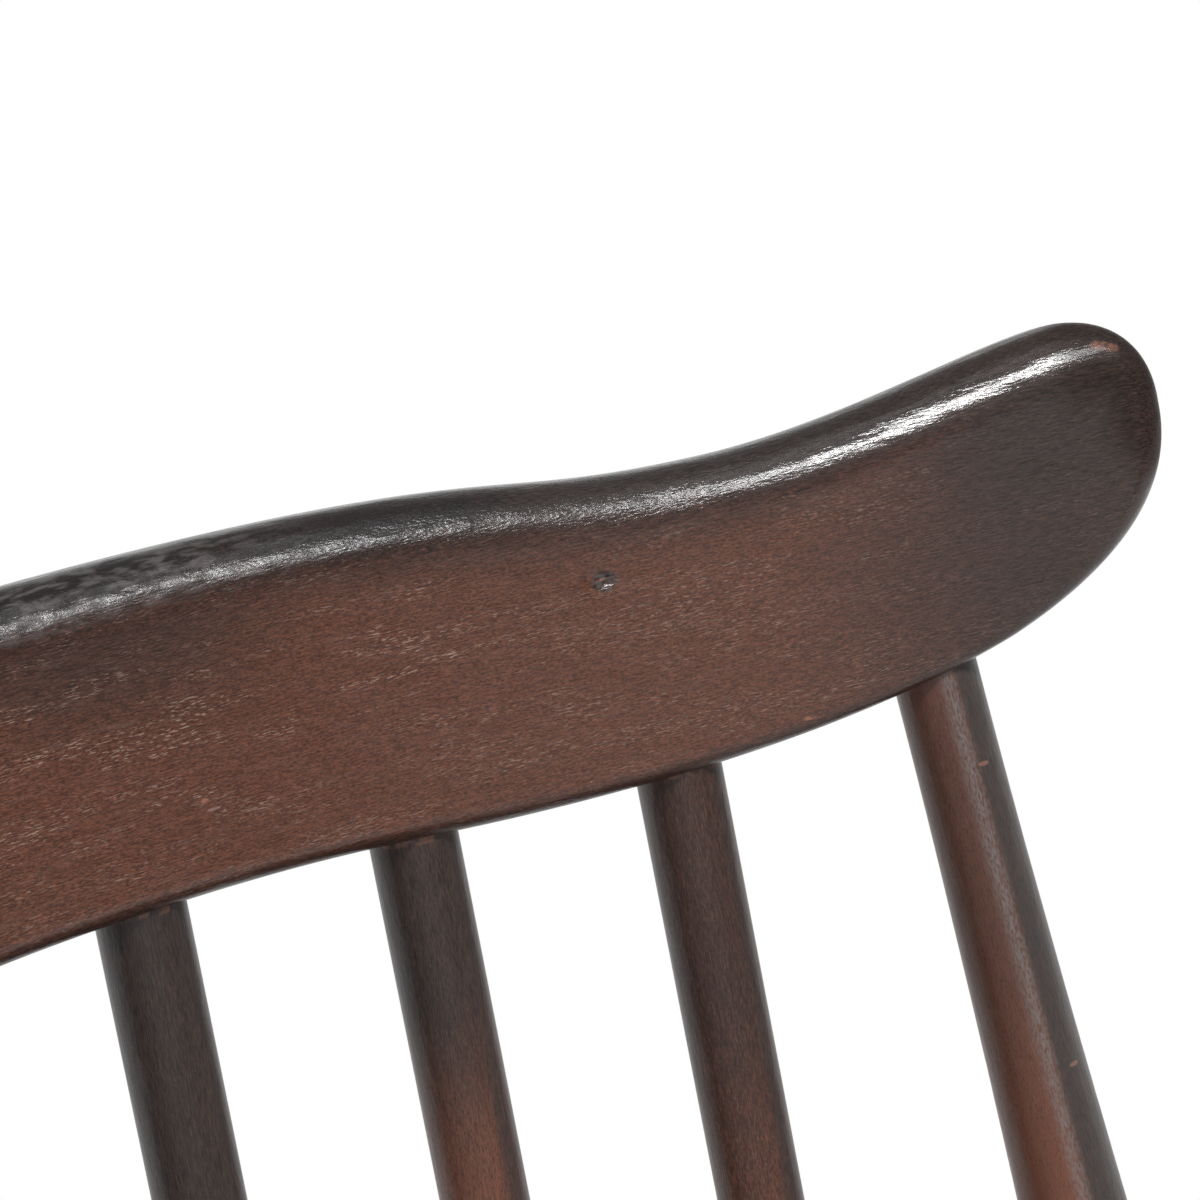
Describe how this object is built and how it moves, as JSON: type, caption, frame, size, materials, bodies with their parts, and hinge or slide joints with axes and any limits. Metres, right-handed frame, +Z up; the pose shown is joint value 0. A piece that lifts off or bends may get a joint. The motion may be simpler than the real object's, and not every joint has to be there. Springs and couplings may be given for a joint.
{
  "type": "windsor side chair",
  "caption": "Stick-back Windsor side chair with a bent serpentine crest rail, slender rods, saddled plank seat, splayed wedged legs and an H of swelled stretchers, in a dark walnut finish.",
  "frame": {"origin": "on the floor under the middle of the chair's bounding box", "axes": "+Z up, +Y towards the back of the chair, +X to the right seen from the front"},
  "size_m": [0.4402, 0.4928, 0.7991],
  "materials": {
    "rail_wood": "dark walnut toner under satin lacquer, worn at edges",
    "stick_wood": "dark walnut toner under satin lacquer, worn at edges",
    "seat_wood": "dark walnut toner under satin lacquer, worn at edges",
    "leg_wood": "dark walnut toner under satin lacquer, worn at edges",
    "wedge_wood": "dark walnut toner under satin lacquer, worn at edges"
  },
  "bodies": {
    "root": {"back_post_left": "stick_wood", "back_post_right": "stick_wood", "back_rod_1": "stick_wood", "back_rod_2": "stick_wood", "back_rod_3": "stick_wood", "back_rod_4": "stick_wood", "back_rod_5": "stick_wood", "crest_peg_left": "wedge_wood", "crest_peg_right": "wedge_wood", "crest_rail": "rail_wood", "cross_stretcher": "leg_wood", "leg_front_left": "leg_wood", "leg_front_right": "leg_wood", "leg_rear_left": "leg_wood", "leg_rear_right": "leg_wood", "leg_wedge_front_left": "wedge_wood", "leg_wedge_front_right": "wedge_wood", "leg_wedge_rear_left": "wedge_wood", "leg_wedge_rear_right": "wedge_wood", "seat": "seat_wood", "side_stretcher_left": "leg_wood", "side_stretcher_right": "leg_wood"}
  },
  "joints": []
}
